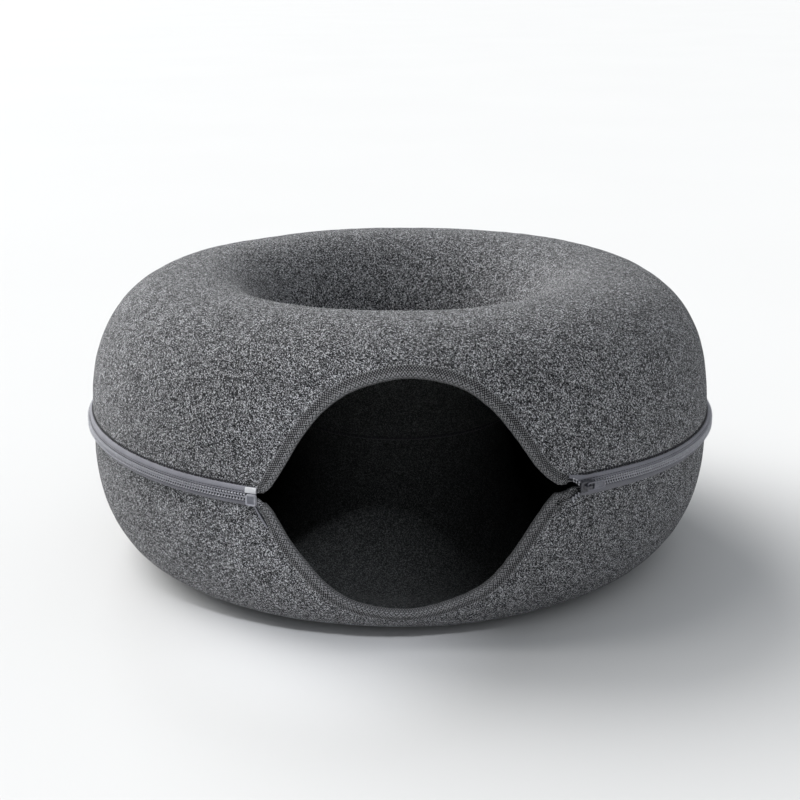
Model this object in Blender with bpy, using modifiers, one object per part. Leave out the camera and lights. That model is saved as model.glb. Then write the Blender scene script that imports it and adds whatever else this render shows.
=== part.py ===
# A felt cat cave: a ring-shaped tunnel of two moulded felt halves. The halves are sewn
# together around the centre hole and zipped together around the outside, and the zip
# stops at either side of an eye-shaped entrance whose edges are bound with tape.
#
# Metres, +Z up. The front, with the entrance, faces -Y. An azimuth is measured around the
# ring's axis from the front and grows towards +X. "Across" is a distance along X from the
# ring's axis, and "level" a height above the zip's line.

import math
from collections import namedtuple

import bmesh
import bpy
from mathutils import Matrix, Vector

# Driving dimensions
FELT_RADIUS = 0.300  # outside of the felt, without the zip
FELT_THICKNESS = 0.0045
ZIP_LEVEL = 0.1369  # height of the zip's line above the floor
RING_Y = -0.0091  # the ring's axis, so that the whole part is centred on the origin
CLEARANCE = 0.0003
SEGMENTS = 64  # facets around the ring
STEP = 2 * math.pi / SEGMENTS
MERGE_DISTANCE = 0.0001

# The ring's section: the crest is the highest or lowest circle of a half, and a wall
# follows a superellipse of the given power from there to the outside or to the hole.
Half = namedtuple("Half", "name side crest height hole outer_power inner_power lean")
UPPER = Half("upper", 1, 0.1912, 0.1344, 0.1056, 2.44, 1.99, 0.0005)
LOWER = Half("lower", -1, 0.1957, ZIP_LEVEL, 0.1056, 2.78, 2.30, -0.0017)
OUTER_STEPS = 9
INNER_STEPS = 7
FLAT_DEPTH = 0.0016  # the lowest part of the ring is pressed flat by its own weight
ON_RIM = 0.001  # share of the section within which a point counts as on the zip's edge

# The lapped seam around the hole: the upper half's skirt lies outside the lower's collar
SKIRT_TOP = 0.010
SKIRT_BOTTOM = -0.00225
COLLAR_TOP = 0.008

# The entrance: its finished edge, as seen from the front, from the left tip to the right
Entrance = namedtuple("Entrance", "across top bottom")
ENTRANCE = (
    Entrance(-0.1170, 0.0010, 0.0006),
    Entrance(-0.1058, 0.0113, -0.0096),
    Entrance(-0.0917, 0.0343, -0.0340),
    Entrance(-0.0780, 0.0569, -0.0534),
    Entrance(-0.0582, 0.0792, -0.0775),
    Entrance(-0.0322, 0.0942, -0.0942),
    Entrance(0.0067, 0.1016, -0.1006),
    Entrance(0.0455, 0.0947, -0.0887),
    Entrance(0.0714, 0.0783, -0.0732),
    Entrance(0.0912, 0.0553, -0.0489),
    Entrance(0.1116, 0.0254, -0.0182),
    Entrance(0.1257, 0.0109, -0.0008),
    Entrance(0.1328, 0.0076, 0.0004),
    Entrance(0.1500, 0.0060, 0.0026),
)
EDGE_STATIONS = 34
CURVE_STEPS = 12  # points between two rows, before they are spaced evenly
CUTTER_REACH = 0.015  # how far the entrance's cutters stand out on both sides of the wall
CUTTER_BELOW = 0.012  # and how far they pass the zip's line

# The binding: a tape folded over the felt's edge
BINDING_THICKNESS = 0.0009
BINDING_WIDTH = 0.010
BINDING_RIM = 0.0008  # its fold's distance from the zip's line
BINDING_SPAN = 8  # facets of the wall on each side of the front that it is made from
Band = namedtuple("Band", "across width")
UPPER_BAND = (Band(-0.1115, 0.0070), Band(-0.0980, BINDING_WIDTH), Band(0.1368, BINDING_WIDTH))
LOWER_BAND = (
    Band(-0.1120, 0.0060),
    Band(-0.0950, BINDING_WIDTH),
    Band(0.1300, BINDING_WIDTH),
    Band(0.1445, 0.0015),
)

# The zip. Its line rises and falls a little on the way round, in waves per turn, and it is
# lifted near the slider.
RIM_GAP = 0.0025  # from the zip's line to each half's felt
Wave = namedtuple("Wave", "turns sine cosine")
ZIP_WAVES = (
    Wave(0, 0, 0.0006),
    Wave(1, -0.0002, 0.0011),
    Wave(2, -0.0010, 0.0016),
    Wave(3, 0.00165, 0),
)
SLIDER_LIFT = 0.0025
LIFT_AZIMUTH = math.radians(33)
LIFT_SPREAD = math.radians(12)
ZIP_START = math.radians(29.2)  # the right tip, from which it runs round the back
ZIP_END = math.radians(360 - 22.75)  # the left tip
TAPE_THICKNESS = 0.0010
TAPE_SEAT = 0.00035  # the sewn edge's distance from the felt
TAPE_RISE = 0.0026  # the teeth's edge stands this far out from the felt
TAPE_SHOULDER = 0.0032
TAPE_INNER = 0.00035
TAPE_BEND = 0.0008  # least distance from the tape's inner edge to its shoulder
UPPER_TAPE = 0.0081  # from the zip's line to the tape's sewn edge
LOWER_TAPE = 0.0083
UPPER_TAPE_SWING = -0.0010  # grows towards the left side
LOWER_TAPE_SWING = 0.0004
LOWER_TAPE_EXTRA = 0.0018  # beside the slider, where the zip's line is lifted
CHAIN_HALF_WIDTH = 0.0029
CROWN_HALF_WIDTH = 0.0010
CHAIN_BASE = TAPE_RISE + TAPE_THICKNESS + CLEARANCE
CHAIN_SHOULDER = 0.0056
CHAIN_CROWN = 0.0062
CHAIN_END = math.radians(360 - 24.4)
# The upper tape's loose end, past the slider
TapeEnd = namedtuple("TapeEnd", "azimuth inner outer")
UPPER_TAPE_END = (
    TapeEnd(math.radians(27.6), 0.0043, 0.0095),
    TapeEnd(math.radians(28.5), 0.0010, 0.0088),
)

SLIDER_AZIMUTH = math.radians(30.0)
SLIDER_LENGTH = 0.0144
SLIDER_WIDTH = 0.0095
SLIDER_PLATE = 0.0016
SLIDER_ROUNDING = 0.0026
SLIDER_BASE = CHAIN_CROWN + CLEARANCE
FLANGE_FOOT = 0.0041
FLANGE_THICKNESS = 0.0012
FLANGE_LENGTH = 0.0090
BRIDGE_LENGTH = 0.0070
BRIDGE_WIDTH = 0.0030
BRIDGE_HEIGHT = 0.0033
BRIDGE_WALL = 0.0011
BRIDGE_ROOT = 0.0004  # how deep the bridge sits in the plate
BRIDGE_OFFSET = -0.0012  # its middle from the plate's, towards the entrance
PULL_LENGTH = 0.0185
PULL_WIDTH = 0.0076
PULL_THICKNESS = 0.0012
PULL_BAR = 0.0014
PULL_WINDOW = 0.0056
PULL_ROUNDING = 0.0024

BOX_AZIMUTH = math.radians(-23.4)
BOX_LEVEL = -0.0012  # its middle from the zip's line
BOX_LENGTH = 0.0090
BOX_WIDTH = 0.0092
BOX_HEIGHT = 0.0036
BOX_ROUNDING = 0.0016
BOX_RECESS = 0.0056
BOX_RECESS_DEPTH = 0.0010
FILM_THICKNESS = 0.0005
FILM_START = math.radians(360 - 24.65)
FILM_INNER = 0.0039
FILM_MARGIN = 0.0003


def clear_scene():
    for obj in list(bpy.data.objects):
        bpy.data.objects.remove(obj, do_unlink=True)


def new_collection(name):
    collection = bpy.data.collections.new(name)
    bpy.context.scene.collection.children.link(collection)
    return collection


def new_material(name, colour, roughness, metallic=0.0):
    material = bpy.data.materials.new(name)
    material.use_nodes = True
    shader = material.node_tree.nodes["Principled BSDF"]
    shader.inputs["Base Color"].default_value = (*colour, 1)
    shader.inputs["Roughness"].default_value = roughness
    shader.inputs["Metallic"].default_value = metallic
    return material


def new_object(name, bm, collection, material=None):
    mesh = bpy.data.meshes.new(name)
    bm.to_mesh(mesh)
    bm.free()
    if material:
        mesh.materials.append(material)
    obj = bpy.data.objects.new(name, mesh)
    collection.objects.link(obj)
    return obj


def new_cutter(name, bm, collection):
    cutter = new_object(name, bm, collection)
    cutter.hide_render = True
    cutter.display_type = "WIRE"
    return cutter


def add_boolean(obj, cutter, operation):
    modifier = obj.modifiers.new(cutter.name, "BOOLEAN")
    modifier.object = cutter
    modifier.operation = operation
    modifier.solver = "EXACT"


def add_thickness(obj, inside, outside):
    modifier = obj.modifiers.new("Thickness", "SOLIDIFY")
    modifier.thickness = inside + outside
    modifier.offset = 2 * outside / modifier.thickness - 1
    modifier.use_even_offset = True


def shade_round(obj, angle=40):
    obj.data.shade_smooth()
    obj.data.set_sharp_from_angle(angle=math.radians(angle))


def beside_slider(azimuth):
    return math.exp(-(((azimuth - LIFT_AZIMUTH) / LIFT_SPREAD) ** 2))


def zip_level(azimuth):
    waves = sum(
        wave.sine * math.sin(wave.turns * azimuth) + wave.cosine * math.cos(wave.turns * azimuth)
        for wave in ZIP_WAVES
    )
    return waves + SLIDER_LIFT * beside_slider(azimuth)


def wall_radius(half, level):
    height = min(abs(level) / half.height, 1)
    reach = FELT_RADIUS - half.crest
    return half.crest + reach * (1 - height**half.outer_power) ** (1 / half.outer_power)


def wall_normal(half, point):
    reach = FELT_RADIUS - half.crest
    power = half.outer_power - 1
    around = Vector((point.x, point.y, 0))
    out = max(around.length - half.crest, 0) / reach
    up = abs(point.z) / half.height
    slope = around.normalized() * out**power / reach
    slope.z = half.side * up**power / half.height
    return slope.normalized()


def wall_point(half, across, level):
    radius = wall_radius(half, level)
    return Vector((across, -math.sqrt(radius**2 - across**2), level))


def snapped_to_wall(half, point):
    radius = wall_radius(half, point.z)
    around = Vector((point.x, point.y, 0)).normalized() * radius
    return Vector((around.x, around.y, point.z))


def section_profile(half):
    """Radius and level of the half's outer face, from the zip over the crest to the hole."""
    outside = FELT_RADIUS - half.crest
    inside = half.crest - half.hole
    profile = []
    for step in range(OUTER_STEPS + 1):
        turn = math.pi / 2 * step / OUTER_STEPS
        out = abs(math.cos(turn)) ** (2 / half.outer_power)
        up = math.sin(turn) ** (2 / half.outer_power)
        profile.append((half.crest + outside * out, half.side * half.height * up))
    for step in range(1, INNER_STEPS):
        turn = math.pi / 2 * (1 - step / INNER_STEPS)
        out = math.cos(turn) ** (2 / half.inner_power)
        up = math.sin(turn) ** (2 / half.inner_power)
        profile.append((half.crest - inside * out, half.side * half.height * up))
    return profile + seam_profile(half)


def seam_profile(half):
    if half is LOWER:
        return [(half.hole, 0), (half.hole, COLLAR_TOP)]
    skirt = half.hole + FELT_THICKNESS + CLEARANCE
    return [(skirt, SKIRT_TOP), (skirt, SKIRT_BOTTOM)]


def settled(half, point, rim_gap):
    """Where a point of an even ring lies on the made-up one."""
    azimuth = math.atan2(point.x, -point.y)
    radius = math.hypot(point.x, point.y)
    height = min(abs(point.z) / half.height, 1)
    outer = min(max((radius - half.crest) / (FELT_RADIUS - half.crest), 0), 1)
    moved = point.copy()
    moved.z += outer * (1 - height) ** 2 * (zip_level(azimuth) + half.side * RIM_GAP)
    if height < ON_RIM and outer > 1 - ON_RIM:
        moved.z += half.side * (rim_gap - RIM_GAP)
    moved.x += half.lean * height
    if half is LOWER and moved.z < FLAT_DEPTH - half.height:
        moved.z = -half.height
    return moved


def half_surface(half, profile, first, steps, rim_gap=RIM_GAP):
    """The half's outer face, turned through some of the ring's facets, as an open mesh."""
    bm = bmesh.new()
    turn = Matrix.Rotation(first * STEP, 3, "Z")
    verts = [bm.verts.new(turn @ Vector((0, -radius, level))) for radius, level in profile]
    edges = [bm.edges.new(pair) for pair in zip(verts, verts[1:])]
    bmesh.ops.spin(
        bm,
        geom=verts + edges,
        axis=(0, 0, 1),
        cent=(0, 0, 0),
        angle=steps * STEP,
        steps=steps,
    )
    bmesh.ops.remove_doubles(bm, verts=bm.verts, dist=MERGE_DISTANCE)
    bm.normal_update()
    facing = 0
    for face in bm.faces:
        centre = face.calc_center_median()
        middle = Vector((centre.x, centre.y, 0)).normalized() * half.crest
        facing += face.normal.dot(centre - middle) * face.calc_area()
    if facing < 0:
        bmesh.ops.reverse_faces(bm, faces=bm.faces)
    for vert in bm.verts:
        vert.co = settled(half, vert.co, rim_gap)
    return bm


def curve_through(rows, count):
    """Evenly spaced points of a smooth curve through rows of (across, level)."""
    points = [Vector(row) for row in rows]
    points = [2 * points[0] - points[1]] + points + [2 * points[-1] - points[-2]]
    fine = []
    for before, start, end, after in zip(points, points[1:], points[2:], points[3:]):
        for step in range(CURVE_STEPS):
            t = step / CURVE_STEPS
            pull = (end - before) / 2, (after - start) / 2
            fine.append(
                (2 * t**3 - 3 * t**2 + 1) * start
                + (t**3 - 2 * t**2 + t) * pull[0]
                + (3 * t**2 - 2 * t**3) * end
                + (t**3 - t**2) * pull[1]
            )
    fine.append(points[-2])
    lengths = [0]
    for start, end in zip(fine, fine[1:]):
        lengths.append(lengths[-1] + (end - start).length)
    spaced = []
    for index in range(count):
        target = lengths[-1] * index / (count - 1)
        after = next(i for i in range(1, len(fine)) if lengths[i] >= target or i == len(fine) - 1)
        share = (target - lengths[after - 1]) / (lengths[after] - lengths[after - 1])
        spaced.append(fine[after - 1].lerp(fine[after], share))
    return spaced


def entrance_edge(half):
    rows = [(row.across, row.top if half is UPPER else row.bottom) for row in ENTRANCE]
    return [wall_point(half, *point) for point in curve_through(rows, EDGE_STATIONS)]


def band_width(band, across):
    for left, right in zip(band, band[1:]):
        if across <= right.across:
            share = (across - left.across) / (right.across - left.across)
            return left.width + share * (right.width - left.width)
    return band[-1].width


def entrance_cutter(half, grown, first=-1, last=1):
    """Closed solid through the wall, from an edge grown into the felt to past the zip.

    The sides stand square to the wall. First and last are the places along X between
    which the edge is used.
    """
    edge = entrance_edge(half)
    rings = []
    for index, point in enumerate(edge):
        if not first <= point.x <= last:
            continue
        along = edge[min(index + 1, len(edge) - 1)] - edge[max(index - 1, 0)]
        into_felt = along.cross(wall_normal(half, point)).normalized() * -half.side
        moved = snapped_to_wall(half, point + into_felt * grown(point.x))
        foot = wall_point(half, moved.x, 0)
        reach, foot_reach = (wall_normal(half, place) * CUTTER_REACH for place in (moved, foot))
        foot.z = -half.side * CUTTER_BELOW
        rings.append([moved + reach, moved - reach, foot - foot_reach, foot + foot_reach])
    return loft(rings)


def loft(rings):
    """Closed mesh over rings of points, with a face at each end."""
    bm = bmesh.new()
    loops = [[bm.verts.new(point) for point in ring] for ring in rings]
    for near, far in zip(loops, loops[1:]):
        for index in range(len(near)):
            after = (index + 1) % len(near)
            bm.faces.new((near[index], near[after], far[after], far[index]))
    bm.faces.new(reversed(loops[0]))
    bm.faces.new(loops[-1])
    bmesh.ops.recalc_face_normals(bm, faces=bm.faces)
    return bm


def make_felt_half(half, parts, cutters, material):
    felt = new_object(
        f"{half.name}_felt", half_surface(half, section_profile(half), 0, SEGMENTS), parts, material
    )
    add_thickness(felt, FELT_THICKNESS, 0)
    grow = BINDING_THICKNESS + CLEARANCE
    opening = entrance_cutter(half, lambda across: grow)
    add_boolean(felt, new_cutter(f"{half.name}_notch", opening, cutters), "DIFFERENCE")
    shade_round(felt)
    return felt


def make_binding(half, band, parts, cutters, material):
    wall = section_profile(half)[:OUTER_STEPS]
    patch = (wall, -BINDING_SPAN, 2 * BINDING_SPAN)
    binding = new_object(
        f"{half.name}_binding", half_surface(half, *patch, BINDING_RIM), parts, material
    )
    proud = CLEARANCE + BINDING_THICKNESS
    add_thickness(binding, FELT_THICKNESS + proud, proud)
    outline = entrance_cutter(
        half, lambda across: band_width(band, across), band[0].across, band[-1].across
    )
    add_boolean(binding, new_cutter(f"{half.name}_band", outline, cutters), "INTERSECT")
    opening = entrance_cutter(half, lambda across: 0)
    add_boolean(binding, new_cutter(f"{half.name}_entrance", opening, cutters), "DIFFERENCE")
    room = new_cutter(
        f"{half.name}_felt_room", half_surface(half, *patch, RIM_GAP - CLEARANCE), cutters
    )
    add_thickness(room, FELT_THICKNESS + CLEARANCE, CLEARANCE)
    fold = entrance_cutter(half, lambda across: BINDING_THICKNESS)
    add_boolean(room, new_cutter(f"{half.name}_fold", fold, cutters), "DIFFERENCE")
    add_boolean(binding, room, "DIFFERENCE")
    shade_round(binding)
    return binding


def belt_point(azimuth, out, up):
    radius = FELT_RADIUS + out
    level = zip_level(azimuth) + up
    return Vector((radius * math.sin(azimuth), -radius * math.cos(azimuth), level))


def belt_stations(start, end):
    """The azimuths of the wall's facet corners between two ends, and the ends."""
    first = math.floor(start / STEP) + 1
    last = math.ceil(end / STEP) - 1
    return [start] + [index * STEP for index in range(first, last + 1)] + [end]


def belt_solid(name, sections, parts, material):
    rings = [[belt_point(azimuth, *corner) for corner in section] for azimuth, section in sections]
    return new_object(name, loft(rings), parts, material)


def tape_edge(half, azimuth):
    if half is UPPER:
        return UPPER_TAPE + UPPER_TAPE_SWING * math.sin(azimuth)
    edge = LOWER_TAPE + LOWER_TAPE_SWING * math.sin(azimuth)
    return edge + LOWER_TAPE_EXTRA * beside_slider(azimuth)


def tape_section(half, inner, outer):
    """Corners of the tape's section: distance out from the felt, and up from the line."""
    shoulder = max(TAPE_SHOULDER, inner + TAPE_BEND)
    rise = TAPE_RISE * (outer - shoulder) / (outer - TAPE_SHOULDER)
    face = [(rise, inner), (rise, shoulder), (TAPE_SEAT, outer)]
    back = [(out + TAPE_THICKNESS, up) for out, up in reversed(face)]
    return [(out, half.side * up) for out, up in face + back]


def make_tape(half, parts, material):
    sections = []
    if half is UPPER:
        for row in UPPER_TAPE_END:
            sections.append((row.azimuth, tape_section(half, row.inner, row.outer)))
    for azimuth in belt_stations(ZIP_START, ZIP_END):
        sections.append((azimuth, tape_section(half, TAPE_INNER, tape_edge(half, azimuth))))
    return belt_solid(f"zip_tape_{half.name}", sections, parts, material)


def make_chain(parts, material):
    half_section = [
        (CHAIN_BASE, CHAIN_HALF_WIDTH),
        (CHAIN_SHOULDER, CHAIN_HALF_WIDTH),
        (CHAIN_CROWN, CROWN_HALF_WIDTH),
    ]
    section = half_section + [(out, -up) for out, up in reversed(half_section)]
    stations = belt_stations(ZIP_START, CHAIN_END)
    chain = belt_solid("zip_chain", [(azimuth, section) for azimuth in stations], parts, material)
    shade_round(chain)
    return chain


def make_film(parts, material):
    sections = []
    for azimuth in (FILM_START, ZIP_END):
        outer = tape_edge(UPPER, azimuth)
        fall = TAPE_RISE - TAPE_SEAT
        slope = fall / (outer - TAPE_SHOULDER)
        seat = [
            (TAPE_RISE + TAPE_THICKNESS + CLEARANCE - slope * (up - TAPE_SHOULDER), up)
            for up in (FILM_INNER, outer - FILM_MARGIN)
        ]
        top = [(out + FILM_THICKNESS, up) for out, up in reversed(seat)]
        sections.append((azimuth, seat + top))
    return belt_solid("tape_end_film", sections, parts, material)


def block(length, depth, width, centre):
    """Box mesh: along the belt, out from it and up."""
    bm = bmesh.new()
    size = Matrix.Diagonal((length, depth, width, 1))
    bmesh.ops.create_cube(bm, size=1, matrix=Matrix.Translation(centre) @ size)
    return bm


def rounded_block(length, depth, width, centre, rounding):
    """The same with the corners of its outline, as seen from outside, rounded."""
    bm = block(length, depth, width, centre)
    upright = [edge for edge in bm.edges if abs((edge.verts[0].co - edge.verts[1].co).y) > depth / 2]
    bmesh.ops.bevel(bm, geom=upright, offset=rounding, segments=3, affect="EDGES", profile=0.5)
    return bm


def place_on_belt(obj, azimuth, up=0):
    obj.rotation_euler = (0, 0, azimuth)
    obj.location = belt_point(azimuth, 0, up) + Vector((0, RING_Y, ZIP_LEVEL))


def make_slider(parts, cutters, material):
    top = SLIDER_BASE + SLIDER_PLATE
    plate_middle = Vector((0, -SLIDER_BASE - SLIDER_PLATE / 2, 0))
    slider = new_object(
        "zip_slider",
        rounded_block(SLIDER_LENGTH, SLIDER_PLATE, SLIDER_WIDTH, plate_middle, SLIDER_ROUNDING),
        parts,
        material,
    )
    bridge_depth = BRIDGE_HEIGHT + BRIDGE_ROOT
    bridge_middle = Vector((BRIDGE_OFFSET, -top + BRIDGE_ROOT - bridge_depth / 2, 0))
    pieces = {"bridge": block(BRIDGE_LENGTH, bridge_depth, BRIDGE_WIDTH, bridge_middle)}
    for side in (-1, 1):
        flange_depth = SLIDER_BASE - FLANGE_FOOT + SLIDER_PLATE / 2
        middle = Vector(
            (0, -FLANGE_FOOT - flange_depth / 2, side * (SLIDER_WIDTH - FLANGE_THICKNESS) / 2)
        )
        pieces[f"flange_{side}"] = block(FLANGE_LENGTH, flange_depth, FLANGE_THICKNESS, middle)
    for name, bm in pieces.items():
        piece = new_cutter(f"slider_{name}", bm, cutters)
        place_on_belt(piece, SLIDER_AZIMUTH)
        add_boolean(slider, piece, "UNION")
    tunnel_height = BRIDGE_HEIGHT - BRIDGE_WALL
    tunnel = new_cutter(
        "slider_tunnel",
        block(
            BRIDGE_LENGTH - 2 * BRIDGE_WALL,
            tunnel_height,
            2 * BRIDGE_WIDTH,
            Vector((bridge_middle.x, -top - tunnel_height / 2, 0)),
        ),
        cutters,
    )
    place_on_belt(tunnel, SLIDER_AZIMUTH)
    add_boolean(slider, tunnel, "DIFFERENCE")
    place_on_belt(slider, SLIDER_AZIMUTH)
    return slider


def make_pull(parts, cutters, material):
    top = SLIDER_BASE + SLIDER_PLATE
    left = BRIDGE_OFFSET - PULL_BAR / 2
    middle = Vector((left + PULL_LENGTH / 2, -top - CLEARANCE - PULL_THICKNESS / 2, 0))
    pull = new_object(
        "zip_pull",
        rounded_block(PULL_LENGTH, PULL_THICKNESS, PULL_WIDTH, middle, PULL_ROUNDING),
        parts,
        material,
    )
    window = new_cutter(
        "pull_window",
        block(
            PULL_WINDOW,
            3 * PULL_THICKNESS,
            PULL_WIDTH - 2 * PULL_BAR,
            Vector((left + PULL_BAR + PULL_WINDOW / 2, middle.y, 0)),
        ),
        cutters,
    )
    place_on_belt(window, SLIDER_AZIMUTH)
    add_boolean(pull, window, "DIFFERENCE")
    place_on_belt(pull, SLIDER_AZIMUTH)
    return pull


def make_box(parts, cutters, material):
    middle = Vector((0, -CHAIN_BASE - BOX_HEIGHT / 2, 0))
    box = new_object(
        "zip_box",
        rounded_block(BOX_LENGTH, BOX_HEIGHT, BOX_WIDTH, middle, BOX_ROUNDING),
        parts,
        material,
    )
    recess_middle = Vector((0, -CHAIN_BASE - BOX_HEIGHT, 0))
    recess = new_cutter(
        "box_recess", block(BOX_RECESS, 2 * BOX_RECESS_DEPTH, BOX_RECESS, recess_middle), cutters
    )
    place_on_belt(recess, BOX_AZIMUTH, BOX_LEVEL)
    add_boolean(box, recess, "DIFFERENCE")
    place_on_belt(box, BOX_AZIMUTH, BOX_LEVEL)
    return box


def main():
    clear_scene()
    parts = new_collection("felt_cat_cave")
    cutters = new_collection("cutters")
    felt = new_material("felt", (0.115, 0.117, 0.122), 0.95)
    binding = new_material("binding", (0.100, 0.100, 0.106), 0.85)
    tape = new_material("zip_tape", (0.150, 0.150, 0.175), 0.80)
    plastic = new_material("zip_plastic", (0.190, 0.190, 0.220), 0.40)
    enamel = new_material("zip_enamel", (0.140, 0.140, 0.165), 0.35)
    film = new_material("tape_film", (0.420, 0.420, 0.440), 0.20)

    ring = bpy.data.objects.new("ring_axis", None)
    ring.location = (0, RING_Y, ZIP_LEVEL)
    parts.objects.link(ring)
    soft = [
        make_felt_half(UPPER, parts, cutters, felt),
        make_felt_half(LOWER, parts, cutters, felt),
        make_binding(UPPER, UPPER_BAND, parts, cutters, binding),
        make_binding(LOWER, LOWER_BAND, parts, cutters, binding),
        make_tape(UPPER, parts, tape),
        make_tape(LOWER, parts, tape),
        make_chain(parts, plastic),
        make_film(parts, film),
    ]
    make_slider(parts, cutters, enamel)
    make_pull(parts, cutters, enamel)
    make_box(parts, cutters, plastic)
    ring_cutters = [cutter for cutter in cutters.objects if cutter.location.length == 0]
    for obj in soft + ring_cutters:
        obj.parent = ring


main()
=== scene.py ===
# A felt cat cave: a ring-shaped tunnel of two moulded felt halves, zipped together round
# the outside and sewn together round the hole. Metres, +Z up, the entrance facing -Y.
# An azimuth is measured round the ring from the front and grows towards +X. Levels are
# heights above the zip's line, and "across" is a distance along X from the ring's axis.
from math import acos, asin, atan2, cos, degrees, exp, hypot, pi, radians, sin, sqrt

import bmesh
import bpy
import numpy as np
from mathutils import Matrix, Vector, noise


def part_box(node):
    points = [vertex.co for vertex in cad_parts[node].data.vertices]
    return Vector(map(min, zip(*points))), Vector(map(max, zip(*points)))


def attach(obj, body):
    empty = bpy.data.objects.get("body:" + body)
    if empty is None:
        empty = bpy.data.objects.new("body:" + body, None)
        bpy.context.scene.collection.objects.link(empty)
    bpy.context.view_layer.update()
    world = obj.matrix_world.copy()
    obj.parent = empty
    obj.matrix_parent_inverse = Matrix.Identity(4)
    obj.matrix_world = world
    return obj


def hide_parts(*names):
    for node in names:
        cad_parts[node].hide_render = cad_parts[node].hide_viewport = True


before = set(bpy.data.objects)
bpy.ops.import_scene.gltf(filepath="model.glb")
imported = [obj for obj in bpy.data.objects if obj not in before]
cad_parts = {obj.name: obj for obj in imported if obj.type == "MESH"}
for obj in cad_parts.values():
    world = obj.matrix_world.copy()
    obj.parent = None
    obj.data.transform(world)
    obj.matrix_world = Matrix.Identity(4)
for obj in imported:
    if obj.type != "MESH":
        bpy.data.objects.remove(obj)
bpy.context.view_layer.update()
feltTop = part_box("upper_felt")[1]

ring = {
    "radius": feltTop.x,  # outside of the felt
    "zipLevel": 0.1369, "felt": 0.0045, "hole": 0.1056,
    "rimGap": 0.0025,  # from the zip's line to each half's felt
    "frontSpread": radians(33),  # the part round the entrance, with finer columns
    "columns": 500,
    "sideColumns": 150,  # of them, from the back to that part
    "rows": 58,
    "outerRows": 0.5,  # their share from the zip to the crest, and to the straight part of the hole
    "innerRows": 0.9,
    "straightTurn": 0.14,  # of the inner quarter turn, left to the straight part
    "edgeStations": 260, "edgeRounding": 0.0015,
    "lumpSize": 0.085,  # the slow unevenness of the moulded felt
    "lumpHeight": 0.0011, "lumpOffset": (3, 7, 11), "dimpleSize": 0.016, "dimpleHeight": 0.00035,
    "smoothRim": 0.012,  # the felt stays even this far from a sewn edge, and this near the hole
    "smoothHole": 0.001, "lumpBlend": 0.02,
    "baseFlat": 0.0008,  # what the floor presses flat, and where that ends
    "baseBlend": 0.0042,
    "cut": (0.80, 0.80),  # each half's flat size, with the hole and the notch cut out of its area
    "cutArea": 0.45, "map": (1.9, 0.38),
}
ringCentre = Vector((0, feltTop.y - ring["radius"], ring["zipLevel"]))
upperHalf = {"name": "upper", "side": 1, "crest": 0.1912, "height": 0.1344,
             "outerPower": 2.44, "innerPower": 1.99, "lean": 0.0005}
lowerHalf = {"name": "lower", "side": -1, "crest": 0.1957, "height": 0.1369,
             "outerPower": 2.78, "innerPower": 2.30, "lean": -0.0017}
# Waves per turn in the zip's line, with their sine and cosine parts, and its lift by the slider
zipWaves = [(0, 0, 0.0006), (1, -0.0002, 0.0011), (2, -0.0010, 0.0016), (3, 0.00165, 0)]
sliderLift = {"height": 0.0025, "azimuth": radians(33), "spread": radians(12)}
# The entrance's finished edge from the left tip to the right: across, top, bottom
entrance = [
    (-0.1170, 0.0010, 0.0006), (-0.1058, 0.0113, -0.0096), (-0.0917, 0.0343, -0.0340),
    (-0.0780, 0.0569, -0.0534), (-0.0582, 0.0792, -0.0775), (-0.0322, 0.0942, -0.0942),
    (0.0067, 0.1016, -0.1006), (0.0455, 0.0947, -0.0887), (0.0714, 0.0783, -0.0732),
    (0.0912, 0.0553, -0.0489), (0.1116, 0.0254, -0.0182), (0.1257, 0.0109, -0.0008),
    (0.1328, 0.0076, 0.0004), (0.1500, 0.0060, 0.0026),
]


# Shapes of the ring's wall
def smooth(share):
    share = min(max(share, 0), 1)
    return share * share * (3 - 2 * share)


def mixed(start, end, share):
    return start + (end - start) * share


def besideSlider(azimuth):
    return exp(-(((azimuth - sliderLift["azimuth"]) / sliderLift["spread"]) ** 2))


def zipLine(azimuth):
    waves = sum(sine * sin(turns * azimuth) + cosine * cos(turns * azimuth)
                for turns, sine, cosine in zipWaves)
    return waves + sliderLift["height"] * besideSlider(azimuth)


def heightShare(half, level):
    return min(abs(level) / half["height"], 1)


def arcRadius(half, level, end, power):
    return half["crest"] + (end - half["crest"]) * (1 - heightShare(half, level) ** power) ** (1 / power)


def wallRadius(half, level):
    return arcRadius(half, level, ring["radius"], half["outerPower"])


def outerShare(half, radius):
    # 0 at the crest and inside it, 1 at the zip
    return min(max((radius - half["crest"]) / (ring["radius"] - half["crest"]), 0), 1)


def zipLift(half, azimuth, level, radius):
    # how far the zip's line carries the wall with it
    near = outerShare(half, radius) * (1 - heightShare(half, level)) ** 2
    return near * (zipLine(azimuth) + half["side"] * ring["rimGap"])


def evenLevel(half, azimuth, level):
    even = level - zipLift(half, azimuth, level, wallRadius(half, level))
    return max(even * half["side"], 0) * half["side"]


def leanAt(half, level):
    return half["lean"] * heightShare(half, level)


def wallAt(half, across, level):
    middle = across - leanAt(half, level)
    azimuth = asin(middle / wallRadius(half, level))
    radius = wallRadius(half, evenLevel(half, azimuth, level))
    return Vector((across, -sqrt(radius**2 - middle**2), level))


def wallNormal(half, point):
    power = half["outerPower"] - 1
    around = Vector((point.x - leanAt(half, point.z), point.y, 0))
    level = evenLevel(half, atan2(around.x, -around.y), point.z)
    out = outerShare(half, wallRadius(half, level))
    normal = around.normalized() * out**power / (ring["radius"] - half["crest"])
    normal.z = half["side"] * heightShare(half, level) ** power / half["height"]
    return normal.normalized()


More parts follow.
